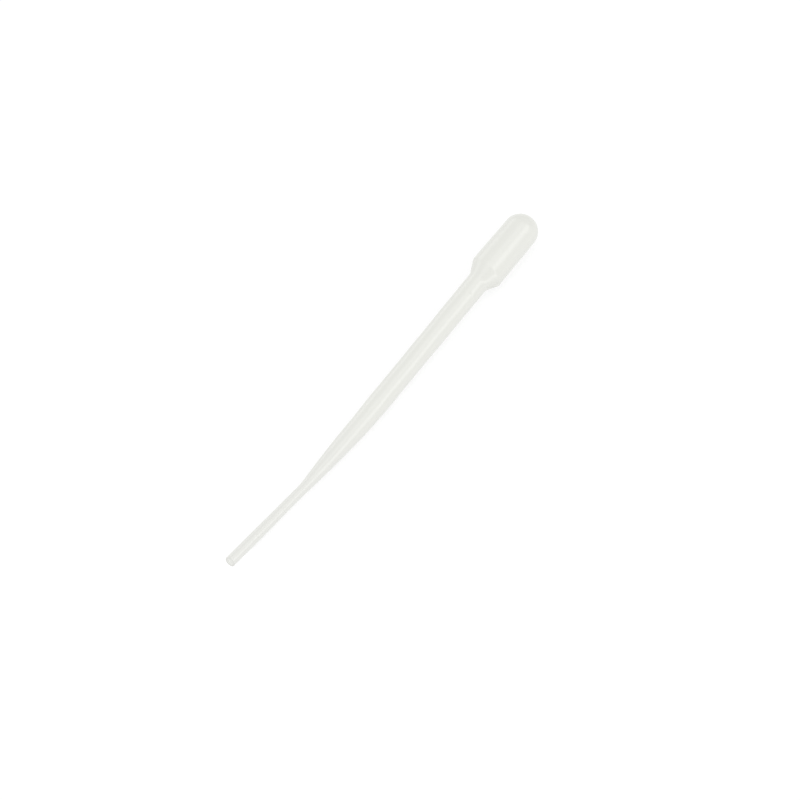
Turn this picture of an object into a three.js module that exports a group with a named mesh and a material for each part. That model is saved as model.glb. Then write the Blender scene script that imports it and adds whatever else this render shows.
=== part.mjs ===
// Plastic dropper pipette, in millimetres, +Z up, lying at rest on the plane z = 0.
//
// The real piece is blow-moulded from soft polyethylene in one shot and its lower half is then
// drawn out hot: a round-topped squeeze bulb, a shoulder cone, a slim stem, a long drawn taper
// and a thin tip that is cut off with its bore left open. The wall is thin at the bulb and
// thicker where the plastic was drawn, and drawing leaves the axis very slightly bent.
//
// The skin is one lathe profile, down the inside and back up the outside. Each of its vertices
// is then carried onto the bent axis, and the whole is rolled and pitched until it lies on the
// rim of the bulb, the taper and the tip.
import * as THREE from 'three';

const { degToRad, lerp, smoothstep } = THREE.MathUtils;

// Lengths along the axis
const tipLength = 32.3;
const taperLength = 39.1;
const stemLength = 45.4;
const collarLength = 5.9;
const shoulderLength = 4.2;
const bulbLength = 17.8;
const domeLength = 5.3;

// Outside diameters
const tipEndDiameter = 3.37;
const tipWaistDiameter = 3.06;
const stemFootDiameter = 6.56;
const stemHeadDiameter = 6.9;
const neckDiameter = 6.96;
const bulbRimDiameter = 11.38;
const bulbTopDiameter = 10.87;

// Walls
const tipWall = 0.65;
const stemWall = 0.5;
const bulbWall = 0.42;
const domeTopWall = 0.75;

// How gently the taper leaves the stem and meets the tip: the reaches of its curve's handles
const taperShoulderReach = 21.4;
const taperHeelReach = 4.4;

// Corners rounded by the mould
const neckRound = 0.8;
const rimRound = 0.5;

// The faint swelling where the drawing began, centred on the foot of the stem
const swellHeight = 0.07;
const swellLength = 14;

// The parting line of the two mould halves: a fine ridge along both sides
const ridgeHeight = 0.05;
const ridgeHalfAngle = degToRad(2.2);
const partingRoll = degToRad(12);

// Bends of the axis on the way down from the bulb: a positive one turns the tip towards +Y
const neckBend = degToRad(-0.46);
const footBend = degToRad(1.95);
const footBendLength = 7.6;
const tipBend = degToRad(3.17);
const tipBendLength = 4.7;

// The tip is cut a little askew, longer underneath, and the shoulder was blown a little askew,
// nearer the tip on its -Y side. Each slant dies out along the tube over its fade.
const cutSlant = degToRad(12);
const cutFade = 4;
const shoulderSlant = degToRad(6.7);
const shoulderFade = 9;

// Fineness of the skin
const facetsPerHalf = 20;
const longestStep = 3.6;
const taperSteps = 18;
const roundSteps = 3;
const domeSteps = 9;

// Stations on the axis, counted up from the cut end of the tip
const waist = tipLength;
const stemFoot = waist + taperLength;
const stemHead = stemFoot + stemLength;
const neck = stemHead + collarLength;
const bulbRim = neck + shoulderLength;
const domeFoot = bulbRim + bulbLength;
const domeTop = domeFoot + domeLength;

// A point of the profile: its distance from the axis and its station
function ring(diameter, station) {
  return new THREE.Vector2(diameter / 2, station);
}

// A straight run, with enough points on it to follow the bends
function straight(from, to) {
  const steps = Math.ceil(from.distanceTo(to) / longestStep);
  return new THREE.LineCurve(from, to).getPoints(steps);
}

// A corner between two straight runs, replaced by a small curve that reaches back along both
function rounded(before, corner, after, reach) {
  const start = before.clone().sub(corner).setLength(reach).add(corner);
  const end = after.clone().sub(corner).setLength(reach).add(corner);
  return new THREE.QuadraticBezierCurve(start, corner, end).getPoints(roundSteps);
}

// A quarter of an ellipse, from the top of the bulb's side up to the axis
function dome(diameter, height) {
  const quarter = new THREE.EllipseCurve(0, domeFoot, diameter / 2, height, 0, Math.PI / 2);
  const points = quarter.getPoints(domeSteps);
  points[domeSteps].x = 0;
  return points;
}

// The outside of the body, from the cut end of the tip up to the foot of the dome
function bodyProfile() {
  const tipEnd = ring(tipEndDiameter, 0);
  const tipTop = ring(tipWaistDiameter, waist);
  const foot = ring(stemFootDiameter, stemFoot);
  const head = ring(stemHeadDiameter, stemHead);
  const collarFoot = ring(neckDiameter, stemHead + (neckDiameter - stemHeadDiameter));
  const neckCorner = ring(neckDiameter, neck);
  const rimCorner = ring(bulbRimDiameter, bulbRim);
  const bulbTop = ring(bulbTopDiameter, domeFoot);
  const heelHandle = ring(tipWaistDiameter, waist + taperHeelReach);
  const shoulderHandle = ring(stemFootDiameter, stemFoot - taperShoulderReach);
  const taper = new THREE.CubicBezierCurve(tipTop, heelHandle, shoulderHandle, foot);
  const rim = rounded(neckCorner, rimCorner, bulbTop, rimRound);
  return [
    ...straight(tipEnd, tipTop),
    ...taper.getPoints(taperSteps).slice(1),
    ...straight(foot, head).slice(1),
    collarFoot,
    ...rounded(collarFoot, neckCorner, rimCorner, neckRound),
    ...rim,
    ...straight(rim[roundSteps], bulbTop).slice(1),
  ];
}

// A raised cosine, added to the radius of a point near the foot of the stem
function swollen(point) {
  const offset = (point.y - stemFoot) / swellLength;
  const share = Math.abs(offset) < 0.5 ? (1 + Math.cos(2 * Math.PI * offset)) / 2 : 0;
  return new THREE.Vector2(point.x + swellHeight * share, point.y);
}

// The wall at a station: it thins evenly up the taper, and again up the shoulder
function wallAt(station) {
  const drawnWall = lerp(tipWall, stemWall, smoothstep(station, waist, stemFoot));
  return lerp(drawnWall, bulbWall, smoothstep(station, neck, bulbRim));
}

function thinned(point) {
  return new THREE.Vector2(point.x - wallAt(point.y), point.y);
}

// How far along a bend of the given top and length the axis has come at a station, as a run:
// nothing above it, a parabola inside it and a straight line below it
function runBelow(top, length, station) {
  const along = THREE.MathUtils.clamp(top - station, 0, length);
  return along * along / (2 * length) + Math.max(0, top - length - station);
}

const bends = [
  { angle: neckBend, top: bulbRim, length: shoulderLength },
  { angle: footBend, top: stemFoot - footBendLength / 2, length: footBendLength },
  { angle: tipBend, top: waist + tipBendLength, length: tipBendLength },
];

// Sideways offset of the axis, and its heading, at a station
function sidewaysAt(station) {
  return bends.reduce((sum, bend) => sum + bend.angle * runBelow(bend.top, bend.length, station), 0);
}

function headingAt(station) {
  const turned = (bend) => THREE.MathUtils.clamp((bend.top - station) / bend.length, 0, 1);
  return bends.reduce((sum, bend) => sum + bend.angle * turned(bend), 0);
}

// The station of a vertex once its ring has leaned with the slant of the cut or of the shoulder
function leaned(radius, station, angle) {
  const pastStem = smoothstep(station, neck - shoulderFade, neck);
  const beforeBulb = 1 - smoothstep(station, bulbRim, bulbRim + shoulderFade);
  const beforeTip = 1 - smoothstep(station, 0, cutFade);
  const shoulderLean = Math.tan(shoulderSlant) * pastStem * beforeBulb * Math.cos(angle);
  const cutLean = Math.tan(cutSlant) * beforeTip * Math.sin(angle);
  return station + radius * (shoulderLean + cutLean);
}

// Angles of the facets round the skin. Each half-turn begins and ends with a flank of the ridge,
// and even facets share what lies between.
function facetAngle(index) {
  const half = Math.floor(index / facetsPerHalf) % 2;
  const place = index % facetsPerHalf;
  const evenFacet = (Math.PI - 2 * ridgeHalfAngle) / (facetsPerHalf - 2);
  const withinHalf = place === 0 ? 0 : ridgeHalfAngle + (place - 1) * evenFacet;
  return half * Math.PI + withinHalf + partingRoll;
}

// Carries a point of the profile, at one angle round the axis, onto the bent axis
function placed(radius, station, angle) {
  const along = leaned(radius, station, angle);
  const heading = headingAt(along);
  const sideways = radius * Math.cos(angle);
  return new THREE.Vector3(
    along + sideways * Math.sin(heading),
    sidewaysAt(along) + sideways * Math.cos(heading),
    radius * Math.sin(angle),
  );
}

function pipetteGeometry(inside, outside) {
  const profile = [...inside, ...outside];
  const skin = new THREE.LatheGeometry(profile, 2 * facetsPerHalf);
  const vertices = skin.getAttribute('position');
  for (let index = 0; index < vertices.count; index += 1) {
    const facet = Math.floor(index / profile.length);
    const place = index % profile.length;
    const { x: radius, y: station } = profile[place];
    const onRidge = facet % facetsPerHalf === 0 && place >= inside.length && radius > 0;
    const height = onRidge ? ridgeHeight : 0;
    const point = placed(radius + height, station, facetAngle(facet));
    vertices.setXYZ(index, point.x, point.y, point.z);
  }
  skin.computeVertexNormals();
  return skin;
}

// The roll and pitch at rest. Unrolled, the rim of the bulb and the tip touch the floor and the
// taper bridges the space between them. Gravity rolls the bent tip upwards until a first ring of
// the taper comes down onto the floor as well.
function restAttitude(body) {
  const tip = new THREE.Vector2(body[0].x, -body[0].x * Math.tan(cutSlant));
  const rim = body.reduce((widest, point) => (point.x > widest.x ? point : widest));
  const rolls = body.filter((point) => point.y > waist && point.y < neck).map((point) => {
    const share = (point.y - tip.y) / (rim.y - tip.y);
    const gap = lerp(tip.x, rim.x, share) - point.x;
    const closing = sidewaysAt(tip.y) * (1 - share) - sidewaysAt(point.y);
    return closing > 0 ? Math.asin(THREE.MathUtils.clamp(gap / closing, 0, 1)) : Math.PI / 2;
  });
  const roll = Math.min(...rolls);
  const drop = rim.x - tip.x + sidewaysAt(tip.y) * Math.sin(roll);
  return { roll, pitch: -Math.atan2(drop, rim.y - tip.y) };
}

const body = bodyProfile().map(swollen);
const outside = [...body, ...dome(bulbTopDiameter, domeLength).slice(1)];
const insideDome = dome(bulbTopDiameter - 2 * bulbWall, domeLength - domeTopWall);
const inside = [...body.map(thinned), ...insideDome.slice(1)].reverse();

const softPolyethylene = new THREE.MeshStandardMaterial({
  color: 0xebece7,
  roughness: 0.38,
  metalness: 0,
});

const pipette = new THREE.Mesh(pipetteGeometry(inside, outside), softPolyethylene);
pipette.name = 'pipette';
const { roll, pitch } = restAttitude(body);
pipette.rotation.set(roll, pitch, 0, 'YXZ');

// Centred over the origin, with its lowest point on the floor
const box = new THREE.Box3().setFromObject(pipette, true);
const centre = box.getCenter(new THREE.Vector3());
pipette.position.set(-centre.x, -centre.y, -box.min.z);

const model = new THREE.Group();
model.add(pipette);
export default model;
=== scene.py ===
"""A plastic dropper pipette on a white table: one blow-moulded shell of milky polyethylene."""
import math

import bpy
import numpy as np
from mathutils import Matrix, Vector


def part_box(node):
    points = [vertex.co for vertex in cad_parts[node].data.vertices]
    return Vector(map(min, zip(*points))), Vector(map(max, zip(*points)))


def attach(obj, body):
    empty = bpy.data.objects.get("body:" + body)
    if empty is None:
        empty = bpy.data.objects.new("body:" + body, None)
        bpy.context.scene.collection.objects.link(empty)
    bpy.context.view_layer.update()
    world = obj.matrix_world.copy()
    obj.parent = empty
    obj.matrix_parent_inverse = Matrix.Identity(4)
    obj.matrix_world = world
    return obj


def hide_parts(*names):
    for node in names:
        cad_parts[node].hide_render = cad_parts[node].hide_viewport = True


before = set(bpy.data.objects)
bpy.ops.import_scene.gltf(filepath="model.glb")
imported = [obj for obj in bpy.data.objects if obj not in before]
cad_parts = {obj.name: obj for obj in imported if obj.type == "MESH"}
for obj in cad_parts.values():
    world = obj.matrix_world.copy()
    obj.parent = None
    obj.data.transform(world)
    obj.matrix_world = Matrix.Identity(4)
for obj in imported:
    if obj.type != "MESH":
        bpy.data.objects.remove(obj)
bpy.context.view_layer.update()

# --------------------------------------------------------------------------------------------------
# Pipette. A hollow shell of low-density polyethylene, milky, a little see-through and thinnest at
# its squeeze bulb. It is blow-moulded in two mould halves and drawn out hot below the stem, and the
# tip is then cut off with a knife, which leaves its bore open. Its sizes are in millimetres.
# --------------------------------------------------------------------------------------------------

# Lengths along the axis
TIP_LENGTH = 32.3
TAPER_LENGTH = 39.1
STEM_LENGTH = 45.4
COLLAR_LENGTH = 5.9
SHOULDER_LENGTH = 4.2
BULB_LENGTH = 17.8
DOME_HEIGHT = 5.3

# Stations on the axis, counted up from the cut end of the tip
WAIST = TIP_LENGTH
STEM_FOOT = WAIST + TAPER_LENGTH
STEM_HEAD = STEM_FOOT + STEM_LENGTH
NECK = STEM_HEAD + COLLAR_LENGTH
BULB_RIM = NECK + SHOULDER_LENGTH
DOME_FOOT = BULB_RIM + BULB_LENGTH

# Outside radii
TIP_END_RADIUS = 1.685
WAIST_RADIUS = 1.53
STEM_FOOT_RADIUS = 3.28
STEM_HEAD_RADIUS = 3.45
NECK_RADIUS = 3.48
BULB_RIM_RADIUS = 5.69
BULB_TOP_RADIUS = 5.435

# Walls
TIP_WALL = 0.65
STEM_WALL = 0.5
BULB_WALL = 0.42
DOME_TOP_WALL = 0.75

# How far the handles of the taper's curve reach, up from the waist and down from the stem
HEEL_REACH = 4.4
SHOULDER_REACH = 21.4

# The collar's short slope, and how far back the mould rounds a corner along both of its sides
COLLAR_SLOPE = 0.06
NECK_ROUND = 0.8
RIM_ROUND = 0.25
CORNER_STEPS = 6

# The faint swelling where the drawing began, centred on the foot of the stem
SWELL_HEIGHT = 0.07
SWELL_LENGTH = 14.0

# Each bend in degrees, the station where it starts on the way down from the bulb, and its length
FOOT_BEND_LENGTH = 7.6
TIP_BEND_LENGTH = 4.7
BENDS = (
    (-0.46, BULB_RIM, SHOULDER_LENGTH),
    (1.95, STEM_FOOT - FOOT_BEND_LENGTH / 2, FOOT_BEND_LENGTH),
    (3.17, WAIST + TIP_BEND_LENGTH, TIP_BEND_LENGTH),
)

# The tip is cut and the shoulder blown a little askew, and each slant dies out over its fade
CUT_SLANT = math.radians(12)
CUT_FADE = 4.0
SHOULDER_SLANT = math.radians(6.7)
SHOULDER_FADE = 9.0

# The parting line of the mould: a fine ridge along both sides, turned a little from level. Nearer
# to a ridge than the last of these angles, the shell has finer facets.
PARTING_ROLL = math.radians(12)
RIDGE_HEIGHT = 0.05
RIDGE_HALF_WIDTH = 0.2
BESIDE_RIDGE = math.radians(7)

# The waver of blown plastic is a sum of sine waves: the height of each, how far along the axis it
# moves on by a radian, how often it comes round the axis, and the radians it starts at. It dies out
# over the last of the radius towards a pole.
WAVES = ((0.020, 5.3, 2, 0.0), (0.014, 2.1, -1, 1.3), (0.012, 3.4, 3, 0.4))
POLE_FADE = 2.0

# Edges that turn by more than this stay sharp, as the knife's do, and the tip is soaked with light
# for this length
CUT_EDGE = math.radians(50)
SOAKED_LENGTH = 8.2

# How far the plastic of the stem was drawn, next to 0 on the bulb and 1 on the tip
STEM_DRAWN = 0.1

MM_PER_CM = 10
MM_PER_M = 1000


def bezier(points, steps):
    """A Bezier curve of any degree: each level has the points a share t along every pair."""
    t = np.linspace(0.0, 1.0, steps + 1)[:, None]
    level = [np.repeat([point], steps + 1, axis=0).astype(float) for point in points]
    while len(level) > 1:
        level = [a + (b - a) * t for a, b in zip(level, level[1:])]
    return level[0]


def toward(start, end, reach):
    """The point a given reach from start on the way to end."""
    start, end = np.array(start), np.array(end)
    return start + (end - start) * reach / np.linalg.norm(end - start)


def body_profile(step):
    """(radius, station) up the outside from the cut end to the foot of the dome: straight runs
    between the named rings, a cubic curve down the drawn taper, a small quadratic curve in place of
    each moulded corner, and a raised cosine added where the drawing began."""
    def run(start, end):
        return bezier((start, end), math.ceil(math.dist(start, end) / step))

    tip_end, waist = (TIP_END_RADIUS, 0.0), (WAIST_RADIUS, WAIST)
    foot, head = (STEM_FOOT_RADIUS, STEM_FOOT), (STEM_HEAD_RADIUS, STEM_HEAD)
    collar, neck = (NECK_RADIUS, STEM_HEAD + COLLAR_SLOPE), (NECK_RADIUS, NECK)
    rim, bulb_top = (BULB_RIM_RADIUS, BULB_RIM), (BULB_TOP_RADIUS, DOME_FOOT)
    heel_handle = (WAIST_RADIUS, WAIST + HEEL_REACH)
    shoulder_handle = (STEM_FOOT_RADIUS, STEM_FOOT - SHOULDER_REACH)
    taper = (waist, heel_handle, shoulder_handle, foot)
    neck_low, neck_high = toward(neck, collar, NECK_ROUND), toward(neck, rim, NECK_ROUND)
    rim_low, rim_high = toward(rim, neck, RIM_ROUND), toward(rim, bulb_top, RIM_ROUND)
    runs = (
        run(tip_end, waist),
        bezier(taper, math.ceil(TAPER_LENGTH / step)),
        run(foot, head),
        run(head, collar),
        run(collar, neck_low),
        bezier((neck_low, neck, neck_high), CORNER_STEPS),
        run(neck_high, rim_low),
        bezier((rim_low, rim, rim_high), CORNER_STEPS),
        run(rim_high, bulb_top),
    )
    points = np.concatenate([runs[0]] + [part[1:] for part in runs[1:]])
    offset = np.clip((points[:, 1] - STEM_FOOT) / SWELL_LENGTH, -0.5, 0.5)
    points[:, 0] += SWELL_HEIGHT * (1 + np.cos(2 * np.pi * offset)) / 2
    return points


def dome_profile(radius, height, steps):
    """A quarter ellipse from the side of the bulb up to the axis, without its first point."""
    turn = np.linspace(0.0, np.pi / 2, steps + 1)[1:]
    return np.column_stack([radius * np.cos(turn), DOME_FOOT + height * np.sin(turn)])


def smooth_step(value, low, high):
    """0 below low, 1 above high, and 3t^2 - 2t^3 of the share t between them."""
    t = np.clip((value - low) / (high - low), 0.0, 1.0)
    return t * t * (3 - 2 * t)


def wall_at(station):
    """The wall, which thins evenly up the taper and again up the shoulder."""
    drawn_wall = TIP_WALL + (STEM_WALL - TIP_WALL) * smooth_step(station, WAIST, STEM_FOOT)
    return drawn_wall + (BULB_WALL - drawn_wall) * smooth_step(station, NECK, BULB_RIM)


def axis_at(station):
    """Sideways offset and heading of the bent axis. The heading turns evenly over each bend."""
    sideways, heading = np.zeros_like(station), np.zeros_like(station)
    for degrees, top, length in BENDS:
        angle = math.radians(degrees)
        along = np.clip(top - station, 0.0, length)
        below = np.maximum(0.0, top - length - station)
        sideways += angle * (along ** 2 / (2 * length) + below)
        heading += angle * along / length
    return sideways, heading


def from_ridge(turn):
    """The angle between a direction round the axis and the nearer of the two parting ridges."""
    return np.abs((turn + np.pi / 2) % np.pi - np.pi / 2)


def skin_angles(even):
    """Angles round the shell: even steps, with finer ones in their place beside both ridges."""
    steps = np.arange(even) * 2 * np.pi / even
    fine = np.radians([0.0, 0.35, 0.7, 1.1, 1.6, 2.2, 3.0, 4.4, 6.0])
    sides = np.concatenate([fine, -fine[1:]])
    kept = steps[from_ridge(steps) > BESIDE_RIDGE]
    return np.sort(np.concatenate([kept, sides % (2 * np.pi), sides + np.pi]))


def skin(profile, angles, ridge_height):
    """One skin as rings of points. Every profile point is swept round the axis at its radius, which
    wavers by a sum of sine waves and rises in a parabola at each parting line. Each ring leans by
    its slant, and is then set square to the bent axis."""
    radius, station = profile[:, :1], profile[:, 1:]
    turn = angles[None, :]
    waver = sum(height * np.sin(station / length + turns * turn + start)
                for height, length, turns, start in WAVES)
    away = from_ridge(turn) * radius
    ridge = ridge_height * np.clip(1 - (away / RIDGE_HALF_WIDTH) ** 2, 0.0, None)
    full = radius + (waver + ridge) * smooth_step(radius, 0.0, POLE_FADE)
    turn = turn + PARTING_ROLL
    across, up = full * np.cos(turn), full * np.sin(turn)
    past_stem = smooth_step(station, NECK - SHOULDER_FADE, NECK)
    askew = past_stem * (1 - smooth_step(station, BULB_RIM, BULB_RIM + SHOULDER_FADE))
    along = (station + across * math.tan(SHOULDER_SLANT) * askew
             + up * math.tan(CUT_SLANT) * (1 - smooth_step(station, 0.0, CUT_FADE)))
    sideways, heading = axis_at(along)
    return np.stack([along + across * np.sin(heading), sideways + across * np.cos(heading), up],
                    axis=-1)


def rest_turn(body):
    """Roll and pitch at rest. Rolling the bent tip upwards brings the taper down to the floor line
    from the bulb's rim to the lower edge of the cut, and the first ring of it to reach that line
    fixes the roll."""
    tip = np.array([body[0, 0], -body[0, 0] * math.tan(CUT_SLANT)])
    rim = body[np.argmax(body[:, 0])]
    middle = body[(body[:, 1] > WAIST) & (body[:, 1] < NECK)]
    share = (middle[:, 1] - tip[1]) / (rim[1] - tip[1])
    tip_side = axis_at(tip[1:])[0][0]
    gap = tip[0] + (rim[0] - tip[0]) * share - middle[:, 0]
    closing = tip_side * (1 - share) - axis_at(middle[:, 1])[0]
    roll = math.asin(np.min(gap / closing))
    drop = rim[0] - tip[0] + tip_side * math.sin(roll)
    return roll, -math.atan2(drop, rim[1] - tip[1])


def laid_down(points, roll, pitch):
    """The points rolled about X and then pitched about Y."""
    x, y, z = points[..., 0], points[..., 1], points[..., 2]
    y, z = y * math.cos(roll) - z * math.sin(roll), y * math.sin(roll) + z * math.cos(roll)
    x, z = x * math.cos(pitch) + z * math.sin(pitch), z * math.cos(pitch) - x * math.sin(pitch)
    return np.stack([x, y, z], axis=-1)


body = body_profile(step=0.5)
outer = np.concatenate([body, dome_profile(BULB_TOP_RADIUS, DOME_HEIGHT, steps=24)])
inner_body = body_profile(step=1.0)
inner_body[:, 0] -= wall_at(inner_body[:, 1])
inner_dome = dome_profile(BULB_TOP_RADIUS - BULB_WALL, DOME_HEIGHT - DOME_TOP_WALL, steps=16)
inner = np.concatenate([inner_body, inner_dome])
angles = skin_angles(even=120)

# The rings run down the inside and back up the outside. The last point of each skin is its pole.
inner_rings = skin(inner[:-1], angles, ridge_height=0.0)
outer_rings = skin(outer[:-1], angles, RIDGE_HEIGHT)
poles = np.array([[inner[-1, 1], 0.0, 0.0], [outer[-1, 1], 0.0, 0.0]])
rings = np.concatenate([inner_rings[::-1], outer_rings])
count, around = rings.shape[:2]
vertices = laid_down(np.concatenate([rings.reshape(-1, 3), poles]), *rest_turn(body))

# Brought to its place on the table, in metres
node_low, node_high = (np.array(corner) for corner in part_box("pipette"))
low, high = vertices.min(axis=0) / MM_PER_M, vertices.max(axis=0) / MM_PER_M
shift = (node_low + node_high - low - high) / 2
shift[2] = node_low[2] - low[2]
vertices = vertices / MM_PER_M + shift

# Four-sided faces between each ring and the next, and a fan of triangles round each pole
ring, spot = np.meshgrid(np.arange(count - 1), np.arange(around), indexing="ij")
next_spot = (spot + 1) % around
quads = np.stack([ring * around + spot, ring * around + next_spot,
                  (ring + 1) * around + next_spot, (ring + 1) * around + spot], axis=-1)
first, second = spot[0], next_spot[0]
last_ring, inner_pole, outer_pole = (count - 1) * around, count * around, count * around + 1
inner_cap = np.stack([second, first, np.full(around, inner_pole)], axis=-1)
outer_cap = np.stack([first + last_ring, second + last_ring, np.full(around, outer_pole)], axis=-1)
faces = quads.reshape(-1, 4).tolist() + inner_cap.tolist() + outer_cap.tolist()

shell_mesh = bpy.data.meshes.new("pipette_shell")
shell_mesh.from_pydata(vertices.tolist(), [], faces)
shell_mesh.shade_smooth()
shell_mesh.set_sharp_from_angle(angle=CUT_EDGE)

# Every vertex knows its station in centimetres and its direction round the axis, so that a pattern
# can follow the draw, and how far its plastic was drawn
stations = np.concatenate([np.repeat(inner[-2::-1, 1], around), np.repeat(outer[:-1, 1], around),
                           [inner[-1, 1], outer[-1, 1]]])
turns = np.concatenate([np.tile(angles, count), [0.0, 0.0]])
draw_place = np.stack([stations / MM_PER_CM, np.cos(turns), np.sin(turns)], axis=-1)
place_attribute = shell_mesh.attributes.new("draw_place", "FLOAT_VECTOR", "POINT")
place_attribute.data.foreach_set("vector", draw_place.ravel())
drawn = (1 - (1 - STEM_DRAWN) * smooth_step(stations, WAIST, STEM_FOOT)
         - STEM_DRAWN * smooth_step(stations, NECK, BULB_RIM))
shell_mesh.attributes.new("drawn", "FLOAT", "POINT").data.foreach_set("value", drawn)

# The faces of the tip's last stretch, inside and outside, take the second material
ring_stations = stations[:-2:around]
ring_tops = np.maximum(ring_stations[:-1], ring_stations[1:])
soaked_faces = np.concatenate([np.repeat(ring_tops < SOAKED_LENGTH, around),
                               np.zeros(2 * around, dtype=bool)])
shell_mesh.polygons.foreach_set("material_index", soaked_faces.astype(int))

shell = bpy.data.objects.new("pipette_shell", shell_mesh)
bpy.context.collection.objects.link(shell)


def shader_group(name, inputs, outputs):
    """An empty shader node group with the named sockets, and its two ends."""
    tree = bpy.data.node_groups.new(name, "ShaderNodeTree")
    for socket, kind in inputs:
        tree.interface.new_socket(socket, in_out="INPUT", socket_type=kind)
    for socket, kind in outputs:
        tree.interface.new_socket(socket, in_out="OUTPUT", socket_type=kind)
    return tree, tree.nodes.new("NodeGroupInput"), tree.nodes.new("NodeGroupOutput")


def add_node(tree, kind, links=(), **settings):
    """A node with its properties set, and each input given a value or linked from a socket."""
    node = tree.nodes.new(kind)
    for key, value in settings.items():
        setattr(node, key, value)
    for socket, source in dict(links).items():
        if isinstance(source, bpy.types.NodeSocket):
            tree.links.new(source, node.inputs[socket])
        else:
            node.inputs[socket].default_value = source
    return node


# Milk: the plastic is clouded, denser where it was drawn and thinner in drifting patches
milk, given, made = shader_group(
    "milk",
    [("Place", "NodeSocketVector"), ("Drawn", "NodeSocketFloat"), ("Thin", "NodeSocketColor"),
     ("Dense", "NodeSocketColor")],
    [("Colour", "NodeSocketColor"), ("Roughness", "NodeSocketFloat")])
drift = add_node(milk, "ShaderNodeTexNoise", {
    "Vector": given.outputs["Place"], "Scale": 130.0, "Detail": 3.0})
speck = add_node(milk, "ShaderNodeTexNoise", {
    "Vector": given.outputs["Place"], "Scale": 1100.0, "Detail": 2.0})
drifting = add_node(milk, "ShaderNodeMapRange", {
    "Value": drift.outputs["Fac"], "From Min": 0.35, "From Max": 0.65,
    "To Min": 0.0, "To Max": 0.2})
specks = add_node(milk, "ShaderNodeMapRange", {
    "Value": speck.outputs["Fac"], "From Min": 0.3, "From Max": 0.7,
    "To Min": -0.05, "To Max": 0.05})
clouds = add_node(milk, "ShaderNodeMath", {
    0: drifting.outputs["Result"], 1: specks.outputs["Result"]})
density = add_node(milk, "ShaderNodeMath", {
    0: given.outputs["Drawn"], 1: 0.8, 2: clouds.outputs["Value"]}, operation="MULTIPLY_ADD")
blend = add_node(milk, "ShaderNodeMixRGB", {
    0: density.outputs["Value"], 1: given.outputs["Thin"], 2: given.outputs["Dense"]})
rough = add_node(milk, "ShaderNodeMapRange", {
    "Value": clouds.outputs["Value"], "From Min": 0.0, "From Max": 0.2,
    "To Min": 0.2, "To Max": 0.25})
milk.links.new(blend.outputs[0], made.inputs["Colour"])
milk.links.new(rough.outputs["Result"], made.inputs["Roughness"])

# Relief: orange peel from the mould on the bulb and stem, and fine lines along the draw below them
relief, given, made = shader_group(
    "relief",
    [("Place", "NodeSocketVector"), ("Draw Place", "NodeSocketVector"),
     ("Drawn", "NodeSocketFloat")],
    [("Height", "NodeSocketFloat")])
peel = add_node(relief, "ShaderNodeTexNoise", {
    "Vector": given.outputs["Place"], "Scale": 900.0, "Detail": 2.0})
stretched = add_node(relief, "ShaderNodeMapping", {
    "Vector": given.outputs["Draw Place"], "Scale": (0.35, 7.0, 7.0)})
lines = add_node(relief, "ShaderNodeTexNoise", {
    "Vector": stretched.outputs["Vector"], "Scale": 1.0, "Detail": 3.0})
height = add_node(relief, "ShaderNodeMix", {
    "Factor": given.outputs["Drawn"], "A": peel.outputs["Fac"], "B": lines.outputs["Fac"]})
relief.links.new(height.outputs["Result"], made.inputs["Height"])


def polyethylene(name):
    """The plastic, clouded by the milk group and roughened by the relief group."""
    plastic = bpy.data.materials.new(name)
    plastic.use_nodes = True
    tree = plastic.node_tree
    place = add_node(tree, "ShaderNodeTexCoord")
    along_draw = add_node(tree, "ShaderNodeAttribute", attribute_name="draw_place")
    drawn_share = add_node(tree, "ShaderNodeAttribute", attribute_name="drawn")
    clouded = add_node(tree, "ShaderNodeGroup", {
        "Place": place.outputs["Object"], "Drawn": drawn_share.outputs["Fac"],
        "Thin": (0.786, 0.792, 0.744, 1.0), "Dense": (0.772, 0.776, 0.74, 1.0)}, node_tree=milk)
    raised = add_node(tree, "ShaderNodeGroup", {
        "Place": place.outputs["Object"], "Draw Place": along_draw.outputs["Vector"],
        "Drawn": drawn_share.outputs["Fac"]}, node_tree=relief)
    bump = add_node(tree, "ShaderNodeBump", {
        "Strength": 1.0, "Distance": 0.00001, "Height": raised.outputs["Height"]})
    principled = tree.nodes["Principled BSDF"]
    tree.links.new(clouded.outputs["Colour"], principled.inputs["Base Color"])
    tree.links.new(clouded.outputs["Roughness"], principled.inputs["Roughness"])
    tree.links.new(bump.outputs["Normal"], principled.inputs["Normal"])
    principled.inputs["IOR"].default_value = 1.51
    principled.inputs["Specular IOR Level"].default_value = 1.0
    return plastic


shell_mesh.materials.append(polyethylene("milky_polyethylene"))

# Light soaks through the thin tip from all round, so that its bore is as light as its outside: only
# the straight view stops at this material, and every other ray passes through it
soaked_plastic = polyethylene("soaked_polyethylene")
tree = soaked_plastic.node_tree
rays = add_node(tree, "ShaderNodeLightPath")
passing = add_node(tree, "ShaderNodeBsdfTransparent")
unseen = add_node(tree, "ShaderNodeMath", {
    0: 1.0, 1: rays.outputs["Is Camera Ray"]}, operation="SUBTRACT")
soaked = add_node(tree, "ShaderNodeMixShader", {
    0: unseen.outputs["Value"], 1: tree.nodes["Principled BSDF"].outputs["BSDF"],
    2: passing.outputs["BSDF"]})
tree.links.new(soaked.outputs["Shader"], tree.nodes["Material Output"].inputs["Surface"])
shell_mesh.materials.append(soaked_plastic)

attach(shell, "root")
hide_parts("pipette")

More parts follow.
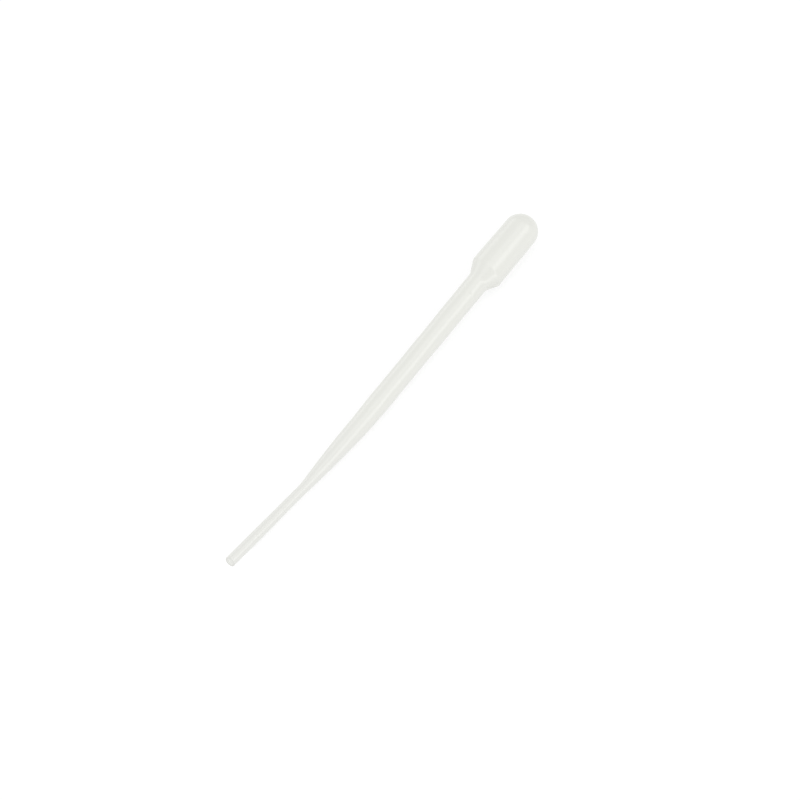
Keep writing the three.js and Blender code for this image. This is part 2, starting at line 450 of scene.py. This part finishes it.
# --------------------------------------------------------------------------------------------------
# Table. A plain sheet of white paper, much larger than the pipette, laid flat under it. It is near
# white to the eye and in reflections, and keeps the faint shadow where the pipette lies.
# --------------------------------------------------------------------------------------------------
paper_half_width = 4.0
paper_corners = np.array([(-1, -1, 0), (1, -1, 0), (1, 1, 0), (-1, 1, 0)]) * paper_half_width
paper_mesh = bpy.data.meshes.new("table_paper")
paper_mesh.from_pydata(paper_corners.tolist(), [], [(0, 1, 2, 3)])
paper = bpy.data.objects.new("table_paper", paper_mesh)
bpy.context.collection.objects.link(paper)

white = bpy.data.materials.new("white_paper")
white.use_nodes = True
tree = white.node_tree
tree.nodes.remove(tree.nodes["Principled BSDF"])
rays = add_node(tree, "ShaderNodeLightPath")
direct = add_node(tree, "ShaderNodeMath", {
    0: rays.outputs["Is Camera Ray"], 1: rays.outputs["Is Glossy Ray"]}, operation="MAXIMUM")
seen = add_node(tree, "ShaderNodeMath", {
    0: direct.outputs["Value"], 1: rays.outputs["Is Transmission Ray"]}, operation="MAXIMUM")
lit = add_node(tree, "ShaderNodeBsdfDiffuse", {"Color": (0.82, 0.82, 0.82, 1.0)})
half_lit = add_node(tree, "ShaderNodeBsdfDiffuse", {"Color": (0.3, 0.3, 0.3, 1.0)})
glow = add_node(tree, "ShaderNodeEmission", {"Strength": 0.74})
bright = add_node(tree, "ShaderNodeAddShader", {
    0: half_lit.outputs["BSDF"], 1: glow.outputs["Emission"]})
sheet = add_node(tree, "ShaderNodeMixShader", {
    0: seen.outputs["Value"], 1: lit.outputs["BSDF"], 2: bright.outputs["Shader"]})
tree.links.new(sheet.outputs["Shader"], tree.nodes["Material Output"].inputs["Surface"])
paper_mesh.materials.append(white)

# --------------------------------------------------------------------------------------------------
# Room. A white light tent lights the pipette evenly from all round. One bright strip lamp leans
# along its side and leaves the long soft highlight, and three dim panels even out the light.
# --------------------------------------------------------------------------------------------------
tent = bpy.data.worlds.new("light_tent")
bpy.context.scene.world = tent
tent.use_nodes = True
background = tent.node_tree.nodes["Background"]
background.inputs["Color"].default_value = (1.0, 1.0, 1.0, 1.0)
background.inputs["Strength"].default_value = 0.82


def strip_lamp(name, end, other_end, width, radiance):
    """A flat lamp between two directions seen from the pipette, a metre away at its middle and
    square to the pipette there, as bright all over as its radiance."""
    end, other_end = (np.array(way) / np.linalg.norm(way) for way in (end, other_end))
    span = np.linalg.norm(end - other_end)
    along = (end - other_end) / span
    facing = (end + other_end) / np.linalg.norm(end + other_end)
    length = 2 * math.tan(math.asin(span / 2))
    lamp_data = bpy.data.lights.new(name, "AREA")
    lamp_data.shape = "RECTANGLE"
    lamp_data.size, lamp_data.size_y = length, width
    lamp_data.energy = radiance * math.pi * length * width
    lamp = bpy.data.objects.new(name, lamp_data)
    turned = np.column_stack([along, np.cross(facing, along), facing, facing])
    lamp.matrix_world = Matrix(np.vstack([turned, [0, 0, 0, 1]]).tolist())
    lamp.visible_camera = False
    bpy.context.collection.objects.link(lamp)


strip_lamp("side_strip", (-0.57, -0.82, 0.04), (0.61, -0.32, 0.72), width=0.44, radiance=0.95)
strip_lamp("top_panel", (-0.7, 0.12, 0.8), (0.5, -0.07, 0.86), width=0.5, radiance=0.45)
strip_lamp("far_panel", (-0.5, 0.83, 0.25), (0.5, 0.83, 0.25), width=0.5, radiance=0.65)
strip_lamp("end_panel", (-0.93, 0.25, 0.25), (-0.93, -0.25, 0.25), width=0.5, radiance=0.5)

# --------------------------------------------------------------------------------------------------
# Camera. A long lens looks down on the pipette from beside its tip, so that it lies from corner to
# corner of the view. It stands back far enough for the view's width, in metres, at the pipette.
# --------------------------------------------------------------------------------------------------
azimuth, elevation = math.radians(-53.33), math.radians(60)
view_width = 0.245
aim_right, aim_up = 0.00453, -0.00034
back = np.array([math.sin(azimuth) * math.cos(elevation), -math.cos(azimuth) * math.cos(elevation),
                 math.sin(elevation)])
right = np.array([math.cos(azimuth), math.sin(azimuth), 0.0])
up = np.cross(back, right)
camera_data = bpy.data.cameras.new("camera")
camera_data.sensor_width = 36.0
camera_data.lens = 600.0
camera_data.clip_end = 100.0
camera = bpy.data.objects.new("camera", camera_data)
distance = view_width * camera_data.lens / camera_data.sensor_width
stand = aim_right * right + aim_up * up + back * distance
camera.matrix_world = Matrix(
    np.vstack([np.column_stack([right, up, back, stand]), [0, 0, 0, 1]]).tolist())
bpy.context.collection.objects.link(camera)
bpy.context.scene.camera = camera
bpy.context.scene.view_settings.view_transform = "Standard"
